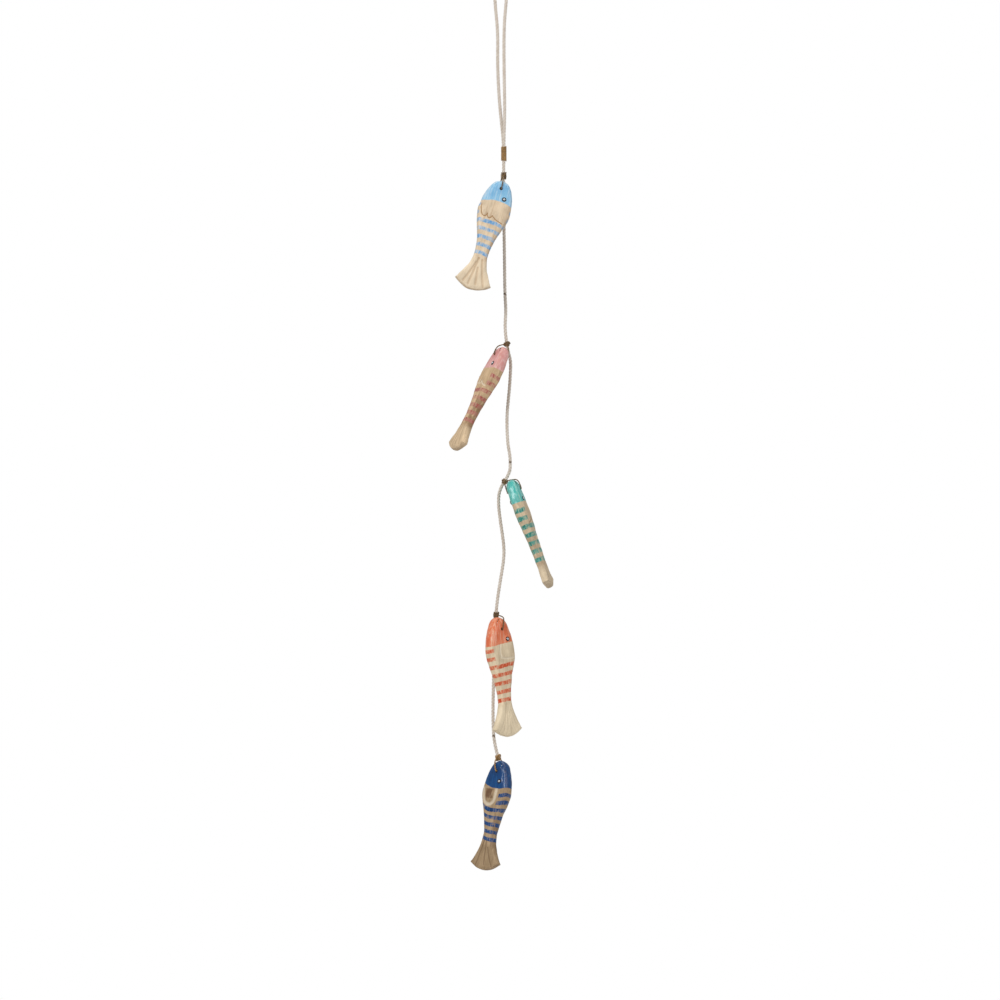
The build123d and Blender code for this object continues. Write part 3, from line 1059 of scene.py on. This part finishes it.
def make_nose_loop(name, nose, hole, outward, centre, way, material, twine, lay):
    """Twine from the knot over the nose, through its hole and back to the knot beside the cord."""
    up = centre - hole
    up = (up - outward * up.dot(outward)).normalized()
    third = outward.cross(up)
    place = frame_matrix(hole, outward, up, third, MM)
    knot = place.inverted() @ centre
    beside = 1 if way.dot(third) > 0 else -1
    low = min(INNER_UP, knot.y - INNER_DROP)
    over = Vector((CROSSING_OUT, nose + CROSSING_UP, 0))
    inner = Vector((-INNER_OUT, low, beside * END_ASIDE))
    points = [
        knot + (over - knot).normalized() * LOOP_START,
        over,
        (SHOULDER_OUT, nose - SHOULDER_DOWN, 0),
        (LEG_OUT, MOUTH_RUN, 0),
        (LEG_OUT, 0, 0),
        (LEG_OUT - MOUTH_RUN, 0, 0),
        (MOUTH_RUN - INNER_OUT, 0, 0),
        (-INNER_OUT, 0, 0),
        (-INNER_OUT, MOUTH_RUN, 0),
        (-INNER_OUT, low, beside * BEND_ASIDE),
        knot + (inner - knot).normalized() * LOOP_START,
    ]
    line = evenly(nurbs_line([place @ Vector(point) for point in points]), TWINE_STEP)
    piece = placed(f"{name}_loop_twine", twine_shape(line, **lay).mesh(f"{name}_loop_twine", material))
    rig.slot(piece, twine)
    down = (place @ Vector((0, INNER_UP, 0)) - centre).normalized()
    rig.blend(piece, f"{name}_tie", f"{name}_loop", centre + down * 1.5 * MM, centre + down * 5 * MM)
    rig.replaces(piece, f"{name}_nose_loop")
    declare_cord(piece, line, 0.6 * MM, "object", lay="taut")
    return piece


# ---- fish


def half_outline(nose, long, wide):
    """A fish's outline on its back's side, from the nose's tip to the tail's corner."""
    turns = np.radians(np.linspace(0, NOSE_ARC_END, OUTLINE_STEPS))
    arc = np.stack([NOSE_R * np.sin(turns), nose * np.cos(turns)], 1)
    marks = [arc[-2], arc[-1]] + [np.array((x * wide, z * long)) for x, z in FLANK_PROFILE]
    marks.append(2 * marks[-1] - marks[-2])
    flank = []
    for before, start, end, after in zip(marks, marks[1:], marks[2:], marks[3:]):
        leave, arrive = (end - before) / 2, (after - start) / 2
        if before is marks[0]:  # straight out of the nose's arc
            leave = (start - before) / np.linalg.norm(start - before) * np.linalg.norm(end - start)
        for share in np.linspace(0, 1, OUTLINE_STEPS, endpoint=False):
            cube, square = share**3, share**2
            flank.append(
                (2 * cube - 3 * square + 1) * start
                + (cube - 2 * square + share) * leave
                + (3 * square - 2 * cube) * end
                + (cube - square) * arrive
            )
    flank.append(marks[-2])
    return np.concatenate([arc[:-1], np.array(flank)])


def silhouette(nose, long, wide):
    """The closed outline: down the back's side to the tail's corner, across the tail's end, and back up."""
    half = half_outline(nose, long, wide)
    split = int(np.argmax(half[:, 1] < HEAD_END))
    head = resampled(half[: split + 1], HEAD_ROWS)
    body = resampled(half[split:], BODY_ROWS)
    right = np.concatenate([head, body[1:]])
    corner, tail = right[-1], -TAIL_BELOW * long
    share = np.linspace(1, -1, 2 * HALF_COLUMNS + 1)[1:-1]
    end = np.stack([corner[0] * share, corner[1] + (tail - corner[1]) * (1 - share**2)], 1)
    left = right[::-1] * (-1, 1)
    return np.concatenate([right, end, left[:-1]])


def outward_ways(loop, window):
    """Unit vectors out of a closed loop, evened over a window of points."""
    ways = np.roll(loop, -1, 0) - np.roll(loop, 1, 0)
    out = np.stack([-ways[:, 1], ways[:, 0]], 1)
    out /= np.linalg.norm(out, axis=1)[:, None]
    evened = sum(np.roll(out, shift, 0) for shift in range(-window, window + 1))
    return evened / np.linalg.norm(evened, axis=1)[:, None]


def half_thickness(z, nose, long):
    """From the middle of a fish to its flank, at each height."""
    tail = -TAIL_BELOW * long
    body = HEAD_HALF + (TAIL_HALF - HEAD_HALF) * np.clip((z - TAPER_FROM) / (tail - TAPER_FROM), 0, 1)
    along_nose = np.clip((z - NOSE_THINS_FROM) / (nose - NOSE_THINS_FROM), 0, 1)
    return body * (1 - NOSE_THINS_BY * along_nose**2)


def flank_grid(inset):
    """Rows of points that fill a flank inside its rim, with the nose hole at the top of the first row.

    Returns the head's spokes for each side, from the hole to the rim, and the body's rows from belly to back.
    """
    spokes = []
    shares = np.linspace(0, 1, HALF_COLUMNS + 1)[:, None]
    for row in range(HEAD_ROWS + 1):
        turn = pi * row / HEAD_ROWS
        start = HOLE_R * np.array([sin(turn), cos(turn)])
        spokes.append(start * (1 - shares) + inset[row] * shares)
    spokes = np.array(spokes)
    bottom = spokes[-1][0]
    across = np.linspace(-1, 1, 2 * HALF_COLUMNS + 1)
    first_rise = bottom[1] - inset[HEAD_ROWS][1]
    corner = HEAD_ROWS + BODY_ROWS
    last_rise = inset[corner + HALF_COLUMNS][1] - inset[corner][1]
    rows = []
    for row in range(BODY_ROWS + 1):
        end = inset[HEAD_ROWS + row]
        share = row / BODY_ROWS
        rise = first_rise * (1 - smooth(share / RISES_UNTIL))
        rise += last_rise * smooth((share - DIPS_FROM) / (1 - DIPS_FROM))
        bow = smooth(share / BOWED_FROM)
        lift = (1 - np.abs(across)) * (1 - bow) + (1 - across**2) * bow
        rows.append(np.stack([end[0] * across, end[1] + rise * lift], 1))
    return spokes, np.array(rows)


def polyline_distance(points, line):
    """How far each flat point is from a line of straight runs."""
    best = np.full(len(points), 1e9)
    for start, end in zip(line, line[1:]):
        start, run = np.array(start), np.array(end) - np.array(start)
        share = np.clip(((points - start) @ run) / (run @ run), 0, 1)
        best = np.minimum(best, np.linalg.norm(points - start - share[:, None] * run, axis=1))
    return best


def carved_line(points, wide=1.0):
    """The flat smooth line that has these control points."""
    return nurbs_line([(x * wide, 0, z) for x, z in points])[::LINE_THINNING, [0, 2]]


def carve_lines(spec, number):
    """The cuts in a flank: a flat line, a width, a depth, what it is tinted by, and how much."""
    lines, *cut = FINS[spec["fin"]]
    cuts = [(carved_line(line, spec["wide"]), *cut, 1.0) for line in lines]
    tail = -TAIL_BELOW * spec["long"]
    count, width, depth, tint = spec["tail_lines"]
    for line in range(count):
        lean = (line + 0.5) / count * 2 - 1 + 0.09 * sin(5.0 * line + number)
        top = tail + 25.0 + 5.0 * sin(2.3 * line + 1.7 * number)
        stop = tail + 2.6 + 2.6 * abs(lean) + 1.4 * sin(3.7 * line + number)
        points = [(lean * 3.0, top), (lean * 6.2, (top + stop) / 2 + 1.0), (lean * 12.6, stop)]
        cuts.append((carved_line(points), width, depth, "carved", tint))
    return cuts


def grid_faces(base, rows, width):
    """The quads of a grid of points, each row of this width."""
    for row in range(rows):
        for column in range(width - 1):
            a = base + row * width + column
            yield a, a + 1, a + width + 1, a + width


def flank_faces():
    """The quads of one flank: between the spokes on the back's side, on the belly's side, and the rows."""
    spoke = HALF_COLUMNS + 1
    head = (HEAD_ROWS + 1) * spoke
    back = list(grid_faces(0, HEAD_ROWS, spoke))
    belly = [face[::-1] for face in grid_faces(head, HEAD_ROWS, spoke)]
    return back + belly + list(grid_faces(2 * head, BODY_ROWS, 2 * HALF_COLUMNS + 1))


def rim_profile(half, drop, radius):
    """How far out and how high each ring from one flank to the other is, at each point of the outline."""
    straight = half - drop - radius
    turns = [pi / 2 * ring / RIM_RINGS for ring in range(1, RIM_RINGS + 1)]
    rounded = [(radius * sin(turn), straight + radius * cos(turn)) for turn in turns]
    shares = [1 - 2 * ring / BAND_RINGS for ring in range(1, BAND_RINGS + 1)]
    band = [(radius + RIM_BULGE * (1 - share**2), straight * share) for share in shares]
    return rounded + band + [(out, -height) for out, height in rounded[-2::-1]]


def fish_shape(spec):
    """A carved fish in its own frame, in millimetres."""
    nose, long = spec["nose"], spec["long"]
    loop = silhouette(nose, long, spec["wide"])
    out = outward_ways(loop, 7)
    half = half_thickness(loop[:, 1], nose, long)
    radius = np.clip(half * RIM_R_SHARE, *RIM_R_RANGE)
    drop = CROWN * half / HEAD_HALF
    inset = loop - out * (radius + RIM_BULGE)[:, None]
    spokes, rows = flank_grid(inset)
    mirrored = spokes * (-1, 1)
    flat = np.concatenate([spokes.reshape(-1, 2), mirrored.reshape(-1, 2), rows.reshape(-1, 2)])
    columns = 2 * HALF_COLUMNS + 1
    on_spokes = np.tile(np.linspace(0, 1, HALF_COLUMNS + 1), 2 * (HEAD_ROWS + 1))
    rim_share = np.concatenate([on_spokes, np.tile(np.abs(np.linspace(-1, 1, columns)), BODY_ROWS + 1)])
    end_share = np.concatenate([0 * on_spokes, np.repeat(np.linspace(0, 1, BODY_ROWS + 1), columns)])
    crown = np.maximum(rim_share, smooth((end_share - 0.9) / 0.1)) ** 4
    thick = half_thickness(flat[:, 1], nose, long)
    height = thick - CROWN * thick / HEAD_HALF * crown
    top = np.stack([flat[:, 0], height, flat[:, 1]], 1)
    bottom = top * (1, -1, 1)

    shape = Shape()
    shape.add(top, flank_faces())
    shape.add(bottom, [face[::-1] for face in flank_faces()])

    # The rim and the narrow faces, ring by ring from one flank to the other
    found = []
    for far, high in rim_profile(half, drop, radius):
        edge = inset + out * far[:, None]
        found.append(np.stack([edge[:, 0], high, edge[:, 1]], 1))
    first = np.stack([inset[:, 0], half - drop, inset[:, 1]], 1)
    last = first * (1, -1, 1)
    found = [first, *found, last]
    around = [(a, d, c, b) for a, b, c, d in ring_faces(len(found) - 1, len(loop))]
    shape.add(np.concatenate(found), around)

    # The wall of the nose hole
    turns = np.concatenate([np.linspace(0, pi, HEAD_ROWS + 1), np.linspace(pi, 2 * pi, HEAD_ROWS + 1)[1:-1]])
    x, z = HOLE_R * np.sin(turns), HOLE_R * np.cos(turns)
    thick = half_thickness(z, nose, long)
    levels = np.linspace(1, -1, HOLE_STEPS + 1)
    wall = np.concatenate([np.stack([x, thick * level, z], 1) for level in levels])
    shape.add(wall, list(ring_faces(HOLE_STEPS, len(turns))))
    return shape


def carve(mesh, spec, number):
    """Cuts the fin and the tail's lines into both flanks, and makes the fish hand-cut and uneven."""
    count = len(mesh.vertices)
    points = np.empty(count * 3)
    mesh.vertices.foreach_get("co", points)
    points = points.reshape(-1, 3)
    normals = np.empty(count * 3, np.float32)
    mesh.vertex_normals.foreach_get("vector", normals)
    normals = normals.reshape(-1, 3)
    flat = points[:, [0, 2]]
    x, z = flat.T
    from_hole = np.linalg.norm(flat, axis=1)
    from_eye = np.linalg.norm(flat - (EYE_X, -EYE_BELOW), axis=1)
    facing_out = np.abs(normals[:, 1])
    on_flank = smooth((facing_out - 0.55) / 0.35)
    depth = np.zeros(count)
    tints = {"carved": np.zeros(count), "pale": np.zeros(count)}
    for line, width, deep, tint, strength in carve_lines(spec, number):
        far = polyline_distance(flat, line)
        depth = np.maximum(depth, deep * smooth(1 - far / width))
        tints[tint] = np.maximum(tints[tint], strength * smooth(1.25 - far / width))
    left, right, bottom = PATCH
    in_patch = np.zeros(count)
    if spec["fin"] == "patch":
        sides = smooth((x - left) / PATCH_FADE) * smooth((right - x) / PATCH_FADE)
        in_patch = sides * smooth((z - bottom) / PATCH_FADE) * smooth(NOSE_R - z - spec["head"])
    seed = 10.0 * (number + 1)
    rough = np.array([noise.noise(Vector(p) * 0.16 + Vector((seed, 0, 0))) for p in points])
    fine = np.array([noise.noise(Vector((p[0] * 0.55, p[1] * 0.55, p[2] * 0.2 + seed))) for p in points])
    lumps = LUMPS * rough + SMALL_LUMPS * fine - SHAVED
    lumps = np.where(lumps > 0, lumps * smooth((from_hole - LOOP_REACH) / 3.0), lumps)
    lumps *= smooth((from_hole - HOLE_R - 0.7) / 1.0) * smooth((from_eye - EYE_CLEAR) / 1.2)
    points += normals * (lumps - (depth + PATCH_DEPTH * in_patch) * on_flank)[:, None]
    mesh.vertices.foreach_set("co", (points * MM).ravel())

    # The rounded corners wear first, and the short stripes keep to the flank's edges
    wear = smooth((0.93 - facing_out) / 0.1) * smooth((facing_out - 0.12) / 0.3)
    outline = half_outline(spec["nose"], spec["long"], spec["wide"])
    to_edge = np.interp(-z, -outline[:, 1], outline[:, 0]) - np.abs(x)
    belly_reach, back_reach = spec["short"]
    reach = np.where(x < 0, belly_reach, back_reach)
    edge = np.maximum(1 - on_flank, smooth((reach - to_edge) / 0.5 + 0.5))

    # Dark wood: the stained patch and the tail's darker end; painted shade on the back's edge at the waist, in the
    # carved lines and in and round the nose hole
    dark_tail_end = smooth((7.5 - TAIL_BELOW * spec["long"] - z) / 3.0) * (1 - on_flank)
    waist_shade = smooth((WAIST_SHADE_HEIGHTS[0] - z) / 8.0) * smooth((z - WAIST_SHADE_HEIGHTS[1]) / 6.0) * smooth((4.5 - to_edge) / 3.0)
    stain_and_shade = np.maximum(0.9 * in_patch * on_flank, 0.55 * dark_tail_end)
    stain_and_shade = np.maximum(stain_and_shade, spec["waist_shade"] * waist_shade * (x > 0))
    # Painted shade in the carved lines and in and round the nose hole
    carved = np.maximum(tints["carved"] * on_flank, smooth((HOLE_R + 0.9 - from_hole) / 0.6))
    keep_numbers(mesh, "carved", carved)
    # Painted highlight along the pale cuts
    keep_numbers(mesh, "pale", tints["pale"] * on_flank)
    keep_numbers(mesh, "stain_and_shade", stain_and_shade)
    keep_numbers(mesh, "wear", wear)
    keep_numbers(mesh, "edge", edge)
    mesh.update()


def weld(mesh, gap):
    """Joins points that lie on each other, so that the flanks, the rim and the hole are one skin."""
    work = bmesh.new()
    work.from_mesh(mesh)
    bmesh.ops.remove_doubles(work, verts=work.verts, dist=gap)
    bmesh.ops.recalc_face_normals(work, faces=work.faces)
    work.to_mesh(mesh)
    work.free()


def make_fish(name, number, spec, place):
    mesh = fish_shape(spec).mesh(f"{name}_carved_body", fish_material(name, spec))
    weld(mesh, WELD_GAP)
    carve(mesh, spec, number)
    piece = placed(f"{name}_carved_body", mesh, place)
    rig.slot(piece, f"{name}_paint")
    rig.ride(piece, f"{name}_fish")
    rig.replaces(piece, f"{name}_body")


def make_eye(name, side, place, materials):
    """A domed tack: a dark ring that lies on the flank and a bright dome in it."""
    flank = -1 if side == "left" else 1
    turns = np.linspace(0, 2 * pi, EYE_SIDES, endpoint=False)
    shape = Shape()
    for kind, outline in enumerate((EYE_RING, EYE_DOME)):
        points = []
        for radius, high in resampled(np.array(outline), EYE_RINGS):
            points += [(radius * cos(turn), radius * sin(turn), high) for turn in turns]
        faces = list(ring_faces(EYE_RINGS, EYE_SIDES))
        if outline is EYE_RING:
            faces.append(tuple(range(EYE_SIDES))[::-1])
        shape.add(np.array(points) * MM, faces, kind)
    mesh = shape.mesh(f"{name}_{side}_tack", *materials)
    weld(mesh, EYE_WELD_GAP * MM)
    spot = Vector((EYE_X, flank * HEAD_HALF, -EYE_BELOW)) * MM
    turned = frame_matrix(spot, Vector((1, 0, 0)), Vector((0, 0, -flank)), Vector((0, flank, 0)))
    piece = placed(f"{name}_{side}_tack", mesh, place @ turned)
    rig.slot(piece, "eye_tack")
    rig.ride(piece, f"{name}_fish")
    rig.replaces(piece, f"{name}_{side}_eye")


# ---- the scene

make_camera()
cotton = fibre_material("cotton", *COTTON)
golden = fibre_material("golden_jute", *GOLDEN_JUTE)
brown = fibre_material("brown_jute", *BROWN_JUTE)
cord_line, ropes = make_cord(cotton)
whipping = make_whipping(golden)
on_cord = [[whipping], [], [], [], []]
tacks = eye_materials()
for number, (name, spec) in enumerate(FISH.items()):
    twine, material, lay = "brown_twine", brown, TWINE
    if name == "navy":
        twine, material, lay = "golden_twine", golden, WAVY_TWINE
    hole = Vector(joints[f"{name}_swing"]["pos_m"])
    middle = Vector(joints[f"{name}_turn"]["pos_m"])
    spine, outward, nose = fish_axes(*[spec[key] for key in ("facing", "lean", "swing", "back")])
    place = frame_matrix(hole, spine, nose.cross(spine), nose)
    knot, centre, way = make_knot(name, number, spec["turns"], cord_line, middle, outward, material, twine)
    on_cord[CORD_OF[name]].append(knot)
    make_nose_loop(name, spec["nose"], hole, outward, centre, way, material, twine, lay)
    make_fish(name, number, spec, place)
    for side in ("left", "right"):
        make_eye(name, side, place, tacks)
attach_cord(ropes, on_cord)
make_floor()
make_light()

low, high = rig.bounds()
with open("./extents.json", "w") as file:
    json.dump({"cad": [list(cad_low), list(cad_high)], "visual": [list(low), list(high)]}, file)
